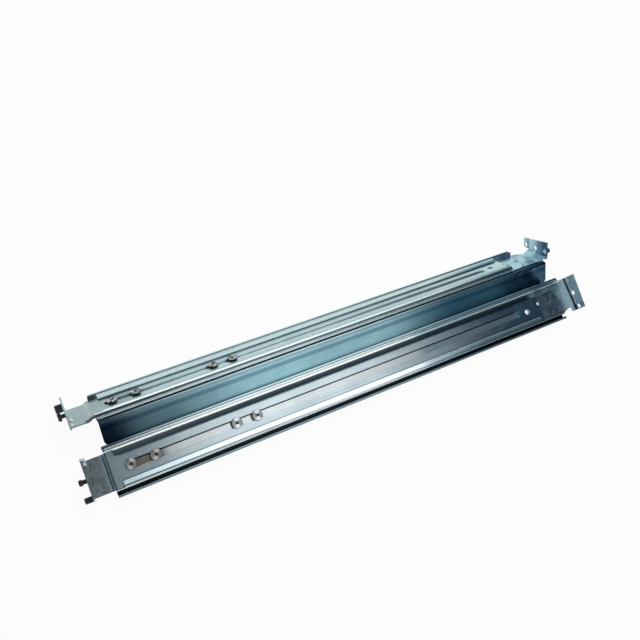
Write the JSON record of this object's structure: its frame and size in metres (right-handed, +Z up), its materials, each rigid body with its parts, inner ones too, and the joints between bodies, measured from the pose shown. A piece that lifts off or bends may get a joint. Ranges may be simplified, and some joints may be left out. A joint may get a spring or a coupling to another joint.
{
  "type": "pair of rack rails",
  "caption": "Pair of L-shaped telescoping rack rails in zinc-plated steel: support ledge, lipped channel, slotted slider with pegged front flange and holed rear flange.",
  "frame": {"origin": "on the floor, under the middle of the pair as it lies", "axes": "+X from the front flanges to the rear flanges, +Z up from the floor, +Y from the left rail to the right rail"},
  "size_m": [0.5666, 0.116, 0.0395],
  "materials": {
    "shelf_zinc": "blue-white zinc plating",
    "channel_zinc": "blue-white zinc plating, roll-formed",
    "slider_zinc": "blue-white zinc plating, drawn",
    "rivet_steel": "turned, bright",
    "nut_steel": "bright",
    "peg_black": "blackened"
  },
  "bodies": {
    "rails": {"left_shelf": "shelf_zinc", "left_channel": "channel_zinc", "left_guide_rivet_1": "rivet_steel", "left_guide_rivet_2": "rivet_steel", "left_guide_rivet_3": "rivet_steel", "left_guide_rivet_4": "rivet_steel", "left_rear_peg": "peg_black", "right_shelf": "shelf_zinc", "right_channel": "channel_zinc", "right_guide_rivet_1": "rivet_steel", "right_guide_rivet_2": "rivet_steel", "right_guide_rivet_3": "rivet_steel", "right_guide_rivet_4": "rivet_steel", "right_rear_peg": "peg_black"},
    "left_extension": {"left_slider": "slider_zinc", "left_front_peg_top": "peg_black", "left_front_peg_mid": "peg_black", "left_press_nut": "nut_steel"},
    "right_extension": {"right_slider": "slider_zinc", "right_front_peg_top": "peg_black", "right_front_peg_mid": "peg_black", "right_press_nut": "nut_steel"}
  },
  "joints": [
    {"name": "left_slide", "type": "slide", "parent": "rails", "child": "left_extension", "axis": [-1, 0, 0], "range_m": [0, 0.28]},
    {"name": "right_slide", "type": "slide", "parent": "rails", "child": "right_extension", "axis": [-1, 0, 0], "range_m": [-0.0035, 0.2765]}
  ]
}
